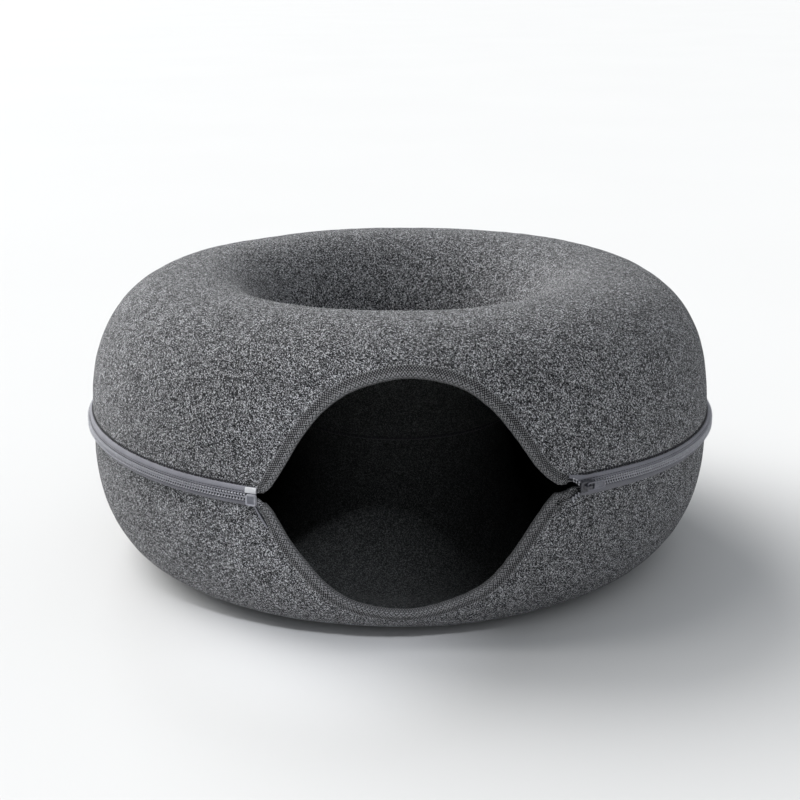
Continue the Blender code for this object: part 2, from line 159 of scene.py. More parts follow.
def curveThrough(rows, count):
    # evenly spaced points of a smooth curve through the rows
    steps = 16  # from row to row
    points = [Vector(row) for row in rows]
    points = [2 * points[0] - points[1]] + points + [2 * points[-1] - points[-2]]
    fine = []
    for before, start, end, after in zip(points, points[1:], points[2:], points[3:]):
        for step in range(steps):
            t = step / steps
            fine.append((2 * t**3 - 3 * t**2 + 1) * start + (t**3 - 2 * t**2 + t) * (end - before) / 2
                        + (3 * t**2 - 2 * t**3) * end + (t**3 - t**2) * (after - start) / 2)
    fine = np.array([list(point) for point in fine + [points[-2]]])
    lengths = np.concatenate([[0], np.cumsum(np.linalg.norm(np.diff(fine, axis=0), axis=1))])
    wanted = np.linspace(0, lengths[-1], count)
    return [tuple(np.interp(place, lengths, column) for column in fine.T) for place in wanted]


def edgeFrames(half, count):
    # for each station along the entrance's edge: the point, along, into the felt, outwards
    column = 1 if half is upperHalf else 2
    rows = [(row[0], row[column]) for row in entrance]
    points = [wallAt(half, *place) for place in curveThrough(rows, count)]
    frames = []
    for index, point in enumerate(points):
        along = (points[min(index + 1, count - 1)] - points[max(index - 1, 0)]).normalized()
        normal = wallNormal(half, point)
        into = along.cross(normal).normalized() * -half["side"]
        frames.append((point, along, into, normal))
    return frames


def besideEdge(half, rim, distance, out):
    moved = rim[0] + rim[2] * distance
    foot = wallAt(half, moved.x, moved.z)
    return foot + wallNormal(half, foot) * out


def aroundAxis(azimuth, radius=1, level=0):
    return Vector((radius * sin(azimuth), -radius * cos(azimuth), level))


def beltPoint(azimuth, out, up):
    # a point on the zip's line, moved out from the felt's outside and up
    return aroundAxis(azimuth, ring["radius"] + out, zipLine(azimuth) + up)


# Making and finishing pieces
def deselect():
    bpy.ops.object.select_all(action="DESELECT")


def select(piece):
    deselect()
    piece.select_set(True)
    bpy.context.view_layer.objects.active = piece


def finishPiece(piece, material, node=None, angle=None):
    if material:
        piece.data.materials.clear()
        piece.data.materials.append(material)
    select(piece)
    if angle is None:
        bpy.ops.object.shade_smooth()
    else:
        bpy.ops.object.shade_smooth_by_angle(angle=radians(angle))
    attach(piece, "root")
    if node:
        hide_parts(node)


def addSheet(name, sizes, place, area=None):
    # a flat grid, laid by place(u, v) in the ring's own frame; its UV map is in metres
    deselect()
    bpy.ops.mesh.primitive_grid_add(x_subdivisions=sizes["columns"], y_subdivisions=sizes["rows"], size=1)
    sheet = bpy.context.object
    sheet.name = name
    for vert in sheet.data.vertices:
        vert.co = place(vert.co.x + 0.5, vert.co.y + 0.5) + ringCentre
    width, height = area or sizes["map"]
    for corner in sheet.data.uv_layers.active.data:
        corner.uv = (corner.uv[0] * width, corner.uv[1] * height)
    return sheet


def mergeEnds(piece):
    # joins the first and the last column
    select(piece)
    bpy.ops.object.mode_set(mode="EDIT")
    bpy.ops.mesh.select_all(action="SELECT")
    bpy.ops.mesh.remove_doubles(threshold=0.00005)
    bpy.ops.object.mode_set(mode="OBJECT")


def setAll(thing, settings):
    for name, value in settings.items():
        setattr(thing, name, value)


def addModifier(piece, kind, **settings):
    setAll(piece.modifiers.new(kind, kind), settings)


def addBevel(piece, width, segments, angle):
    addModifier(piece, "BEVEL", width=width, segments=segments, limit_method="ANGLE",
                angle_limit=radians(angle))


def applyModifiers(piece):
    select(piece)
    for modifier in list(piece.modifiers):
        bpy.ops.object.modifier_apply(modifier=modifier.name)


def thicken(piece, thickness, rounding=0, linings=(), even=True):
    # the linings are the materials of the front, and of the back and the rims
    for material in linings:
        piece.data.materials.append(material)
    addModifier(piece, "SOLIDIFY", thickness=thickness, offset=-1, use_even_offset=even,
                material_offset=len(linings[1:]))
    if rounding:
        addBevel(piece, rounding, segments=3, angle=50)
    applyModifiers(piece)


def stampAll(name, shape, places):
    # one joined mesh with a copy of shape at each place
    base = np.array([vert.co[:] for vert in shape.data.vertices])
    faces = [tuple(face.vertices) for face in shape.data.polygons]
    points, corners = [], []
    for index, place in enumerate(places):
        points.append(base @ np.array(place.to_3x3()).T + np.array(place.translation))
        corners += [tuple(corner + index * len(base) for corner in face) for face in faces]
    mesh = bpy.data.meshes.new(name)
    mesh.from_pydata(np.concatenate(points).tolist(), [], corners)
    piece = bpy.data.objects.new(name, mesh)
    bpy.context.scene.collection.objects.link(piece)
    bpy.data.objects.remove(shape)
    return piece


def placeAt(point, along, outwards):
    # local X lies along, local Z points outwards
    outwards = outwards.normalized()
    side = outwards.cross(along).normalized()
    turn = Matrix((side.cross(outwards), side, outwards)).transposed().to_4x4()
    return Matrix.Translation(point + ringCentre) @ turn


def beltPlace(azimuth, out, up, rise=0, step=0.002):
    # along the zip's line, with local Z outwards, or also up where it has a rise
    point = beltPoint(azimuth, out, up)
    return placeAt(point, beltPoint(azimuth + step, out, up) - point, aroundAxis(azimuth, 1, rise))


def addBall(segments, rings, radius, turn):
    deselect()
    bpy.ops.mesh.primitive_uv_sphere_add(segments=segments, ring_count=rings, radius=radius, rotation=turn)
    bpy.ops.object.transform_apply(location=False, rotation=True, scale=False)
    return bpy.context.object


def stitchShape(length, width, height):
    # a plump stitch with blunt ends, lying along X
    stitch = addBall(segments=6, rings=5, radius=0.5, turn=(0, pi / 2, 0))
    bluntness = 2.4
    for vert in stitch.data.vertices:
        around = 2 * max(hypot(vert.co.y, vert.co.z), 0.001)
        taper = sqrt(max(1 - (2 * abs(vert.co.x)) ** bluntness, 0)) / around
        vert.co.x *= length
        vert.co.y *= width * taper
        vert.co.z *= height * taper
    return stitch


def sew(name, stitch, places, material):
    sewing = stampAll(name, stitchShape(*stitch), places)
    finishPiece(sewing, material)
    return sewing


# Materials
def shaderInputs(tree):
    return tree.nodes["Principled BSDF"].inputs


def newMaterial(name, roughness, sheen=0.0, specular=0.3):
    material = bpy.data.materials.new(name)
    material.use_nodes = True
    inputs = shaderInputs(material.node_tree)
    inputs["Roughness"].default_value = roughness
    inputs["Sheen Weight"].default_value = sheen
    inputs["Sheen Roughness"].default_value = 0.5
    inputs["Specular IOR Level"].default_value = specular
    return material, material.node_tree


def addNode(tree, kind, inputs=None, **settings):
    node = tree.nodes.new("ShaderNode" + kind)
    setAll(node, settings)
    for name, value in (inputs or {}).items():
        if isinstance(value, bpy.types.NodeSocket):
            tree.links.new(value, node.inputs[name])
        else:
            node.inputs[name].default_value = value
    return node


def maths(tree, operation, first, second=0.0, clamp=False):
    return addNode(tree, "Math", {0: first, 1: second}, operation=operation,
                   use_clamp=clamp).outputs[0]


def plusShare(tree, total, field, strength, middle=0.0, clamp=False):
    # the total plus the field, measured from its middle, times the strength
    if middle:
        field = maths(tree, "SUBTRACT", field, middle)
    return maths(tree, "ADD", total, maths(tree, "MULTIPLY", field, strength), clamp)


def ranged(tree, value, low, high, newLow=0.0, newHigh=1.0):
    return addNode(tree, "MapRange", {"Value": value, "From Min": low, "From Max": high,
                   "To Min": newLow, "To Max": newHigh}, interpolation_type="SMOOTHSTEP").outputs[0]


def mixedColour(tree, share, *colours):
    first, second = ((*colour, 1) if isinstance(colour, tuple) else colour for colour in colours)
    return addNode(tree, "Mix", {0: share, 6: first, 7: second}, data_type="RGBA").outputs[2]


def cloud(tree, coords, size, detail=2.0, roughness=0.5):
    return addNode(tree, "TexNoise", {"Vector": coords, "Scale": 1 / size, "Detail": detail,
                   "Roughness": roughness}).outputs[0]


def finishMaterial(material, colour, height, distance, strength):
    tree = material.node_tree
    bump = addNode(tree, "Bump", {"Height": height, "Distance": distance, "Strength": strength})
    tree.links.new(colour, shaderInputs(tree)["Base Color"])
    tree.links.new(bump.outputs[0], shaderInputs(tree)["Normal"])
    return material


feltLook = {
    "name": "heather_felt", "dark": (0.006, 0.006, 0.007),
    "middle": (0.105, 0.106, 0.111), "light": (0.630, 0.634, 0.658),
    "tones": (0.12, 0.48, 0.50, 1.00),  # where dark turns to middle, and middle to light
    "grain": (0.0010, 0.42),  # size and the lightest tone of the ground between the fibres
    "curl": (0.0026, 0.0016),  # size and reach of the bends in the fibres
    # how each set of fibres lies, in degrees, its width and length in metres
    "tufts": [((0, 5, -38), 0.00085, 0.0032), ((10, 12, 62), 0.00080, 0.0034),
              ((0, -50, 100), 0.00080, 0.0036), ((30, 56, 15), 0.00085, 0.0034)],
    "softness": (0.20, 0.66),  # where a fibre's tone starts and ends its fall, from its middle
    "specks": (0.0010, 1.75),  # size and strength
    "patches": (0.010, 0.45),
    "hairs": (0.0019, 0.045),  # size and width
    "paleHairs": (0.47, 0.22),  # the cloud's value that they follow, and strength
    "deepHairs": (0.54, -0.30), "hairRelief": 0.25, "relief": 0.0006,
}
# The inside of the felt: the same felt made darker, painted shade for the dim tunnel
shadedInsideLook = {**feltLook, "name": "inside_felt_painted_shade", "dark": (0.010, 0.011, 0.011),
              "middle": (0.031, 0.033, 0.033), "light": (0.084, 0.087, 0.088)}


def hairs(tree, coords, size, width, middle):
    # thin curling lines, where a cloud crosses its middle
    field = cloud(tree, coords, size, detail=1)
    away = maths(tree, "ABSOLUTE", maths(tree, "SUBTRACT", field, middle))
    return ranged(tree, away, 0.0, width, 1.0, 0.0)


def feltMaterial(look):
    material, tree = newMaterial(look["name"], roughness=0.95, sheen=0.06, specular=0.12)
    coords = addNode(tree, "TexCoord").outputs["Object"]
    size, reach = look["curl"]
    bends = addNode(tree, "TexNoise", {"Vector": coords, "Scale": 1 / size,
                    "Detail": 1.0}).outputs[1]
    bends = addNode(tree, "VectorMath", {0: bends, 1: (0.5, 0.5, 0.5)},
                    operation="SUBTRACT").outputs[0]
    curled = addNode(tree, "VectorMath", {0: bends, 1: (reach, reach, reach), 2: coords},
                     operation="MULTIPLY_ADD").outputs[0]
    size, lightest = look["grain"]
    tone = ranged(tree, cloud(tree, coords, size, roughness=0.7), 0.40, 0.75, 0.0, lightest)
    for angles, width, length in look["tufts"]:
        turn = tuple(radians(angle) for angle in angles)
        turned = addNode(tree, "Mapping", {"Vector": curled, "Rotation": turn,
                         "Scale": (length / width, 1, 1)}, vector_type="TEXTURE").outputs[0]
        cells = addNode(tree, "TexVoronoi", {"Vector": turned, "Scale": 1 / width})
        random = addNode(tree, "SeparateColor", {"Color": cells.outputs["Color"]})
        rounded = ranged(tree, cells.outputs["Distance"], *look["softness"], 1.0, 0.0)
        tone = maths(tree, "MAXIMUM", tone, maths(tree, "MULTIPLY", rounded, random.outputs[0]))
    size, width = look["hairs"]
    pale = hairs(tree, curled, size, width, look["paleHairs"][0])
    deep = hairs(tree, curled, size * 1.3, width, look["deepHairs"][0])
    height = plusShare(tree, tone, maths(tree, "SUBTRACT", pale, deep), look["hairRelief"])
    specks = cloud(tree, coords, look["specks"][0], detail=1)
    patches = cloud(tree, coords, look["patches"][0], detail=4, roughness=0.6)
    tone = plusShare(tree, tone, specks, look["specks"][1], 0.5)
    tone = plusShare(tree, tone, patches, look["patches"][1], 0.5)
    tone = plusShare(tree, tone, pale, look["paleHairs"][1])
    tone = plusShare(tree, tone, deep, look["deepHairs"][1])
    low, middle, high, top = look["tones"]
    body = mixedColour(tree, ranged(tree, tone, low, middle), look["dark"], look["middle"])
    colour = mixedColour(tree, ranged(tree, tone, high, top), body, look["light"])
    return finishMaterial(material, colour, height, look["relief"], strength=0.7)


def weave(tree, pitch, yarnSize, patchSize):
    # the way across the map, the raised spots of a staggered lattice from -1 to 1, and two clouds
    uv = addNode(tree, "TexCoord").outputs["UV"]
    axes = addNode(tree, "SeparateXYZ", {"Vector": uv}).outputs
    waves = [maths(tree, "SINE", maths(tree, "MULTIPLY", axis, 2 * pi / length))
             for axis, length in zip(axes, pitch)]
    return (axes[1], maths(tree, "MULTIPLY", *waves), cloud(tree, uv, yarnSize, roughness=0.6),
            cloud(tree, uv, patchSize))


def clothMaterial(name, dark, light, pitch, contrast=0.8, depth=0.00003, paintedShade=None):
    # a darker strip beside the map's lower edge, painted shade under the zip's teeth: where it ends, and
    # its colour
    material, tree = newMaterial(name, roughness=0.82, sheen=0.12)
    across, spots, yarn, patches = weave(tree, pitch, yarnSize=0.0006, patchSize=0.02)
    share = plusShare(tree, 0.5, spots, 0.5 * contrast)
    share = plusShare(tree, share, yarn, 0.7, 0.5)
    share = plusShare(tree, share, patches, 0.5, 0.5, clamp=True)
    colour = mixedColour(tree, share, dark, light)
    if paintedShade:
        # painted shade under the teeth
        shadeUnderTeeth = ranged(tree, across, paintedShade[0] - 0.0004, paintedShade[0] + 0.0004, 1.0, 0.0)
        colour = mixedColour(tree, shadeUnderTeeth, colour, paintedShade[1])
    return finishMaterial(material, colour, plusShare(tree, spots, yarn, 0.8), depth, strength=0.9)


bindingLook = {
    "dark": (0.005, 0.005, 0.006), "light": (0.290, 0.290, 0.298),
    "fold": (0.075, 0.075, 0.078), "pitch": (0.0022, 0.0031),
    "spots": (0.0, 0.70),  # the weave's height where the light yarn starts, and where it is full
    "spotShare": 0.80,
    "yarn": (0.0009, 1.3),  # size and strength
    "patches": (0.012, 0.4),
    "innerLift": 0.05,  # the part beside the fold shows more of the light yarn
    "foldShare": 0.5,
    "relief": 0.00018,
    "width": 0.0255,  # opened out
}


def bindingMaterial():
    # a bird's-eye weave of staggered light dots, smoother on the fold; the map's Y runs
    # across the tape, with the fold in its middle
    look = bindingLook
    material, tree = newMaterial("woven_binding", roughness=0.85, sheen=0.06, specular=0.25)
    across, spots, yarn, patches = weave(tree, look["pitch"], look["yarn"][0], look["patches"][0])
    fromFold = maths(tree, "ABSOLUTE", maths(tree, "SUBTRACT", across, look["width"] / 2))
    share = maths(tree, "MULTIPLY", ranged(tree, spots, *look["spots"]), look["spotShare"])
    share = plusShare(tree, share, yarn, look["yarn"][1], 0.5)
    share = maths(tree, "ADD", share, ranged(tree, fromFold, 0.0060, 0.0075, look["innerLift"], 0.0))
    share = plusShare(tree, share, patches, look["patches"][1], 0.5, clamp=True)
    woven = mixedColour(tree, share, look["dark"], look["light"])
    folded = ranged(tree, fromFold, 0.0020, 0.0050, look["foldShare"], 0.0)
    colour = mixedColour(tree, folded, woven, look["fold"])
    return finishMaterial(material, colour, maths(tree, "ADD", spots, yarn), look["relief"], strength=0.9)


def hardMaterial(name, colour, roughness, coat=0.0, worn=0.25):
    material, tree = newMaterial(name, roughness, specular=0.5)
    inputs = shaderInputs(tree)
    inputs["Coat Weight"].default_value = coat
    inputs["Coat Roughness"].default_value = 0.25
    coords = addNode(tree, "TexCoord").outputs["Object"]
    speck = cloud(tree, coords, 0.0007, detail=3, roughness=0.6)
    rubbed = ranged(tree, cloud(tree, coords, 0.004, detail=3), 0.5, 0.75, 0.0, worn)
    lighter = tuple(min(channel * 1.9 + 0.03, 1) for channel in colour)
    darker = tuple(channel * 0.8 for channel in colour)
    body = mixedColour(tree, speck, darker, colour)
    dulled = ranged(tree, speck, 0.3, 0.7, roughness - 0.06, roughness + 0.08)
    tree.links.new(dulled, inputs["Roughness"])
    colour = mixedColour(tree, rubbed, body, lighter)
    return finishMaterial(material, colour, speck, distance=0.00003, strength=0.5)


felt = feltMaterial(feltLook)
shadedInsideFelt = feltMaterial(shadedInsideLook)
bindingCloth = bindingMaterial()
# The tape's darker strip under the teeth is painted shade
tapeWeave = {"pitch": (0.0016, 0.0013), "contrast": 0.6, "depth": 0.00008,
             "paintedShade": (0.0030, (0.014, 0.014, 0.018))}
tapeCloth = clothMaterial("zip_tape_cloth", (0.110, 0.110, 0.128), (0.300, 0.300, 0.335), **tapeWeave)
# The lower tape's cloth is the upper tape's cloth made darker: painted shade
shadedLowerTapeCloth = clothMaterial("lower_zip_tape_painted_shade", (0.080, 0.080, 0.094), (0.225, 0.225, 0.252),
                               **tapeWeave)
twist = (0.0008, 0.0008)  # the pitch of the yarns in a thread
thread = clothMaterial("thread", (0.035, 0.035, 0.038), (0.200, 0.200, 0.210), twist)
paleThread = clothMaterial("pale_thread", (0.080, 0.080, 0.084), (0.380, 0.380, 0.391), twist)
braidThread = clothMaterial("braid_thread", (0.050, 0.050, 0.053), (0.345, 0.345, 0.355), twist)
# Dark thread for the tapes' sewing, also used for rows of stitches that are painted shadow
darkThreadAndShadow = clothMaterial("dark_thread_and_painted_shadow", (0.006, 0.006, 0.008), (0.030, 0.030, 0.036), twist)
toothPlastic = hardMaterial("moulded_teeth", (0.480, 0.480, 0.520), 0.24)
enamel = hardMaterial("slider_enamel", (0.050, 0.050, 0.062), 0.30, coat=0.3)
pullEnamel = hardMaterial("pull_enamel", (0.125, 0.125, 0.152), 0.24, coat=0.5)
boxPlastic = hardMaterial("retainer_plastic", (0.310, 0.312, 0.345), 0.30)
boxRecess = hardMaterial("retainer_recess", (0.115, 0.118, 0.140), 0.40)
filmPlastic = hardMaterial("tape_end_film", (0.600, 0.600, 0.620), 0.16, coat=0.6, worn=0.45)
print("materials made")


# Felt halves
def columnAzimuth(u):
    side = ring["sideColumns"] / ring["columns"]
    spread = ring["frontSpread"]
    return float(np.interp(u, [0, side, 1 - side, 1], [-pi, -spread, spread, pi]))


def notchStart(half):
    # the level at which each azimuth's felt begins, along the entrance
    rows = []
    for rim in edgeFrames(half, ring["edgeStations"]):
        point = besideEdge(half, rim, binding["felt"], 0)
        azimuth = atan2(point.x - leanAt(half, point.z), -point.y)
        above = point.z * half["side"] > 0
        rows.append((azimuth, evenLevel(half, azimuth, point.z) * half["side"] if above else 0))
    return np.array(sorted(rows)).T


seam = {
    "skirtTop": 0.010, "skirtBlend": 0.034, "skirtBottom": -0.00225,
    "skirtRadius": ring["hole"] + ring["felt"] + 0.0003,
    "collarTop": 0.008, "stitchLevel": 0.0032, "stitchPitch": 0.0042,
    "stitch": (0.0034, 0.0007, 0.0006),
    "shadowLevel": -0.0056,  # a row of dark stitches just under the skirt's edge, painted shadow of that edge
    "shadowStitch": (0.0046, 0.0034, 0.0016),
}


def feltPoint(half, v, start):
    # radius and level of the even section, from the zip over the crest to the hole
    outer, inner, straight = ring["outerRows"], ring["innerRows"], ring["straightTurn"]
    if v <= outer:
        power = half["outerPower"]
        first = asin((start / half["height"]) ** (power / 2))
        turn = mixed(first, pi / 2, v / outer)
        radius = half["crest"] + (ring["radius"] - half["crest"]) * cos(turn) ** (2 / power)
        return radius, half["height"] * sin(turn) ** (2 / power)
    turn = pi / 2 * (1 - min((v - outer) / (inner - outer), 1) * (1 - straight))
    level = half["height"] * sin(turn) ** (2 / half["innerPower"])
    if v > inner:
        bottom = seam["skirtBottom"] if half is upperHalf else -seam["collarTop"]
        level = mixed(level, bottom, (v - inner) / (1 - inner))
    radius = arcRadius(half, max(level, 0), ring["hole"], half["innerPower"])
    if half is upperHalf:
        share = smooth((seam["skirtBlend"] - level) / (seam["skirtBlend"] - seam["skirtTop"]))
        radius = mixed(radius, seam["skirtRadius"], share)
    return radius, level


def makeFeltHalf(half):
    name = half["name"]
    azimuths, starts = notchStart(half)

    def place(u, v):
        azimuth = columnAzimuth(u if half["side"] > 0 else 1 - u)
        start = float(np.interp(azimuth, azimuths, starts, left=0, right=0))
        radius, level = feltPoint(half, v, start)
        level *= half["side"]
        point = aroundAxis(azimuth, radius, level)
        outwards = (point - aroundAxis(azimuth, half["crest"])).normalized()
        free = smooth((abs(level) - start - ring["smoothRim"]) / ring["lumpBlend"])
        free *= smooth((radius - ring["hole"] - ring["smoothHole"]) / ring["lumpBlend"])
        lump = noise.noise(point / ring["lumpSize"] + Vector(ring["lumpOffset"])) * ring["lumpHeight"]
        lump += noise.noise(point / ring["dimpleSize"]) * ring["dimpleHeight"]
        point.z += zipLift(half, azimuth, level, radius)
        point.x += leanAt(half, level)
        point += outwards * (lump * free)
        if half is lowerHalf:
            above = point.z + half["height"]
            share = (above - ring["baseFlat"]) / (ring["baseBlend"] - ring["baseFlat"])
            if share < 1:
                share = max(share, 0)
                point.z = -half["height"] + ring["baseBlend"] * share * share * (2 - share)
        return point

    shell = addSheet(f"felt_{name}", ring, place)
    mergeEnds(shell)
    # the back and the rims take the darkened inside felt, painted shade
    thicken(shell, ring["felt"], ring["edgeRounding"], (felt, shadedInsideFelt))
    finishPiece(shell, None, f"{name}_felt", angle=60)
    print("felt", name, "made")


# Bindings of the entrance
binding = {
    "felt": 0.0012,  # from the finished edge to the felt's
    "proud": 0.0012,  # the tape's outer face above the felt
    "thickness": 0.0008, "foldDepth": 0.0031, "foldPower": 2.4,
    "legRows": 0.29,  # each leg's share of the rows
    "turnIn": (0.8, 0.00025),  # where a leg's edge begins to dip, and how deep
    "columns": 620, "rows": 54, "weavePitch": 0.0026, "weaveRelief": 0.00012,
    "pucker": (0.006, 0.0003),  # size and height of the fold's unevenness
    "endRounding": (0.0025, 0.0060),  # at the left and at the right
    "endWidth": 0.0006,  # what is left of a leg at the tips
    "stitchStart": 0.003,
    "stitchInset": 0.0003,  # the sewing's distance from the outer leg's edge
    "stitchPitch": 0.0020, "stitchSink": 0.0003, "stitch": (0.0015, 0.0009, 0.0006),
    "braid": [(0.0005, -1), (0.0019, 1), (0.0038, -1)],  # each row's distance from the edge, and slant
    "braidPitch": 0.0041, "braidSlant": radians(28),
    "braidStitch": (0.0027, 0.0010, 0.0009),
}
# Each binding's width, across
bands = {"upper": [(-0.1120, 0.0090), (-0.0990, 0.0100), (0.1358, 0.0100)],
         "lower": [(-0.1120, 0.0060), (-0.0950, 0.0100), (0.1300, 0.0100), (0.1445, 0.0030)]}


def bandFrames(half, band, count):
    fine = [rim for rim in edgeFrames(half, 3 * count)
            if band[0][0] <= rim[0].x <= band[-1][0]]
    picked = [fine[round(index * (len(fine) - 1) / (count - 1))] for index in range(count)]
    steps = [(b[0] - a[0]).length for a, b in zip(picked, picked[1:])]
    return picked, np.concatenate([[0], np.cumsum(steps)])


def bandWidth(band, across, fromLeft, fromRight):
    width = float(np.interp(across, *np.array(band).T))
    left, right = binding["endRounding"]
    lobe = max(min(fromLeft / left, fromRight / right, 1), 0)
    return mixed(binding["foldDepth"] + binding["endWidth"], width, sqrt(1 - (1 - lobe) ** 2))


def foldSection(turn):
    # inset from the finished edge and distance from the felt's middle, on the rounded fold
    power = 2 / binding["foldPower"]
    inset = binding["foldDepth"] * (1 - cos(turn) ** power)
    return inset, (ring["felt"] / 2 + binding["proud"]) * sin(turn) ** power


def braidPlace(half, rim, inset, slant):
    along, into, normal = rim[1:]
    share = max(1 - inset / binding["foldDepth"], 0)
    turn = acos(share ** (binding["foldPower"] / 2))
    out = foldSection(turn)[1] - ring["felt"] / 2
    outwards = normal * sin(turn) - into * cos(turn)
    lean = along * cos(binding["braidSlant"]) + into * (sin(binding["braidSlant"]) * slant)
    return placeAt(besideEdge(half, rim, inset, out), lean, outwards)


def makeBinding(half):
    name, band = half["name"], bands[half["name"]]
    count = binding["columns"] + 1
    frames, distances = bandFrames(half, band, count)
    length = float(distances[-1])
    tapeWidth = bindingLook["width"]
    halfThick = ring["felt"] / 2 + binding["proud"]
    foldRows = 0.5 - binding["legRows"]
    waveSize, waveHeight = binding["pucker"]
    dipStart, dip = binding["turnIn"]

    def place(u, v):
        index = round(u * (count - 1))
        if half is lowerHalf:
            index = count - 1 - index
        rim, distance = frames[index], distances[index]
        width = bandWidth(band, rim[0].x, distance, length - distance)
        wave = noise.noise(Vector((distance / waveSize, half["side"], 0))) * waveHeight
        fromMiddle = abs(v - 0.5)
        if fromMiddle > foldRows:
            share = (fromMiddle - foldRows) / binding["legRows"]
            inset = mixed(binding["foldDepth"], width, share) + wave * (1 - share)
            out = halfThick - dip * smooth((share - dipStart) / (1 - dipStart))
            facing = (0, 1)
        else:
            turn = pi / 2 * fromMiddle / foldRows
            inset, out = foldSection(turn)
            inset += wave
            facing = (-cos(turn), sin(turn))
        cell = 2 * pi / binding["weavePitch"]
        relief = binding["weaveRelief"] * sin(distance * cell) * sin(v * tapeWidth * cell)
        inset += facing[0] * relief
        out += facing[1] * relief
        return besideEdge(half, rim, inset, (out if v > 0.5 else -out) - ring["felt"] / 2)

    def stations(start, pitch):
        for distance in np.arange(start, length - binding["stitchStart"], pitch):
            yield frames[int(np.searchsorted(distances, distance))], distance

    strip = addSheet(f"binding_{name}", binding, place, (length, tapeWidth))
    thicken(strip, binding["thickness"], even=False)
    finishPiece(strip, bindingCloth, f"{name}_binding")

    places = []
    for rim, distance in stations(binding["stitchStart"], binding["stitchPitch"]):
        inset = bandWidth(band, rim[0].x, distance, length - distance) - binding["stitchInset"]
        point = besideEdge(half, rim, inset, binding["proud"] - binding["stitchSink"])
        places.append(placeAt(point, rim[1], rim[3]))
    sewing = sew(f"binding_sewing_{name}", binding["stitch"], places, paleThread)

    places = []
    for inset, slant in binding["braid"]:
        start = binding["stitchStart"] + (binding["braidPitch"] / 2 if slant < 0 else 0)
        places += [braidPlace(half, rim, inset, slant) for rim, _ in stations(start, binding["braidPitch"])]
    braid = sew(f"binding_braid_{name}", binding["braidStitch"], places, braidThread)
    print("binding", name, "made,", len(places), "braid stitches")


# Zip tapes
tapes = {
    "start": radians(29.2),  # the right tip, from which it runs round the back
    "end": radians(360 - 22.75),  # the left tip
    "chainEnd": radians(360 - 24.25), "tapeThickness": 0.0010,
    "clothShare": 0.85,  # of that thickness, in the sheet itself
    "inner": 0.00012,  # from the zip's line
    "seat": 0.00035, "rise": 0.0026, "shoulder": 0.0034,
    "roundness": 1.9,  # of the tape's section between the shoulder and its sewn edge
    "upper": 0.0081, "upperSwing": -0.0010, "lower": 0.0083, "lowerSwing": 0.0004,
    "lowerExtra": 0.0018,  # beside the slider
    "columns": 900, "rows": 16,
    "ripple": (0.006, 0.00010),  # size and height of the cloth's and of its edge's unevenness
    "edgeRipple": (0.02, 0.00012), "stitchPitch": 0.0031,
    "stitch": (0.0027, 0.0007, 0.0006),
    "stitchRow": (0.006, 0.004, 0.3),  # margins at its start and end, and its lean upwards
    "groove": (0.0043, 0.0007, 0.0008),  # from the zip's line, its width and depth
    "grooveInset": 0.001,  # its least distance from a loose end's inner edge
    # Dark stitches along the tapes' outer edges stand in for the shadow there: painted shadow
    "shadowStitch": (0.0027, 0.0022, 0.0010), "shadowRow": (0.012, 0.012, 1),
    "shadowOffset": 0.0010,  # that row's distance past the upper tape's edge
    "flatWidth": 0.0106,
    "drawnWidth": {"upper": 0.0084, "lower": 0.0088},
    "mapWidth": {"upper": 0.0080, "lower": 0.0086},
}
# Loose ends past the slider, from the tape's start: azimuth, inner and outer edge
tapeEnds = {
    "upper": [(27.1, 0.0068, 0.0108), (28.0, 0.0052, 0.0104), (28.6, 0.0021, 0.0097),
              (29.2, tapes["inner"], 0.0088), (30.5, tapes["inner"], 0.0077)],
    "lower": [(27.4, 0.0094, 0.0120), (28.3, 0.0068, 0.0100), (29.1, 0.0050, 0.0092),
              (29.8, 0.0030, 0.0097), (30.4, tapes["inner"], 0.0103)],
}


def tapeEdges(half, azimuth):
    name, turned = half["name"], degrees(azimuth)
    if turned < tapeEnds[name][-1][0]:
        places, *edges = np.array(tapeEnds[name]).T
        return tuple(float(np.interp(turned, places, edge)) for edge in edges)
    outer = tapes[name] + tapes[name + "Swing"] * sin(azimuth)
    if half is lowerHalf:
        outer += tapes["lowerExtra"] * besideSlider(azimuth)
    return tapes["inner"], outer


def tapeRise(up, outer):
    share = min(max((up - tapes["shoulder"]) / (outer - tapes["shoulder"]), 0), 1)
    power = tapes["roundness"]
    return mixed(tapes["seat"], tapes["rise"], (1 - share**power) ** (1 / power))


def grooveAt(up, inner):
    place, width, depth = tapes["groove"]
    place = max(place, inner + tapes["grooveInset"])
    return depth * exp(-(((up - place) / width) ** 2))


